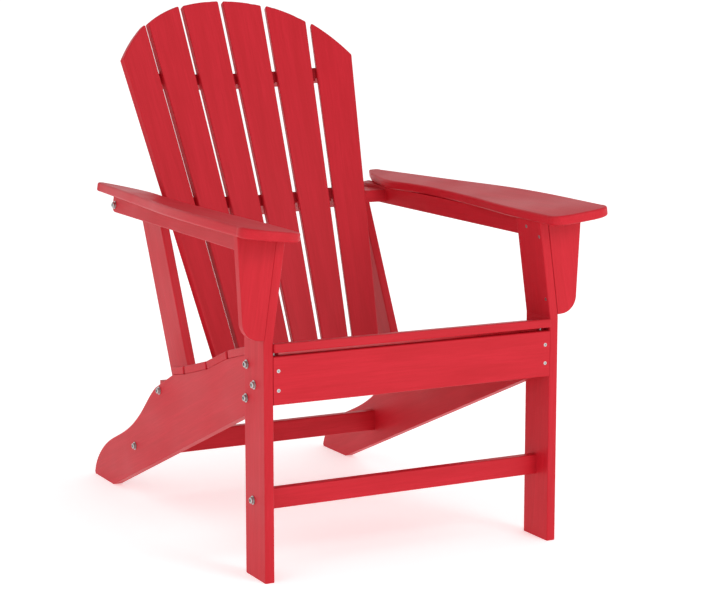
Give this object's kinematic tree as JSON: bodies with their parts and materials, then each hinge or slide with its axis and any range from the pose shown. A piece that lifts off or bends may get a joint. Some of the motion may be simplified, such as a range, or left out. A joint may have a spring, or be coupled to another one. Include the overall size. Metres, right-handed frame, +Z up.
{
  "type": "adirondack chair",
  "caption": "Slatted outdoor lounge chair with a fanned, hollowed and arched back, a contoured seat and wide paddle arms, in red plastic lumber",
  "frame": {"origin": "on the floor under the middle of the chair's bounding box", "axes": "+Z up, front of the chair towards -Y, +X across; symmetric about X = 0"},
  "size_m": [0.726, 0.943, 0.9723],
  "materials": {
    "red_lumber": "satin moulded-in colour with a faint brushed grain",
    "fastener_steel": "plain stainless steel"
  },
  "bodies": {
    "root": {"front_leg_right": "red_lumber", "front_leg_left": "red_lumber", "arm_bracket_right": "red_lumber", "arm_bracket_left": "red_lumber", "arm_rail_right": "red_lumber", "arm_rail_left": "red_lumber", "arm_right": "red_lumber", "arm_left": "red_lumber", "seat_side_rail_right": "red_lumber", "seat_side_rail_left": "red_lumber", "rear_upright_right": "red_lumber", "rear_upright_left": "red_lumber", "front_apron": "red_lumber", "front_stretcher": "red_lumber", "rear_stretcher": "red_lumber", "back_crossbar_upper": "red_lumber", "back_crossbar_arm": "red_lumber", "back_crossbar_lower": "red_lumber", "seat_slat_1": "red_lumber", "seat_slat_2": "red_lumber", "seat_slat_3": "red_lumber", "seat_slat_4": "red_lumber", "seat_slat_5": "red_lumber", "back_slat_1": "red_lumber", "back_slat_2": "red_lumber", "back_slat_3": "red_lumber", "back_slat_4": "red_lumber", "back_slat_5": "red_lumber", "back_slat_6": "red_lumber", "leg_bolts": "fastener_steel", "leg_nuts": "fastener_steel", "front_stretcher_bolts": "fastener_steel", "rear_stretcher_bolts": "fastener_steel", "lower_crossbar_bolts": "fastener_steel", "arm_crossbar_bolts": "fastener_steel", "apron_screws": "fastener_steel", "bracket_screws": "fastener_steel", "rail_screws": "fastener_steel", "arm_screws": "fastener_steel", "seat_slat_screws": "fastener_steel", "back_slat_screws": "fastener_steel", "upright_screws": "fastener_steel"}
  },
  "joints": []
}
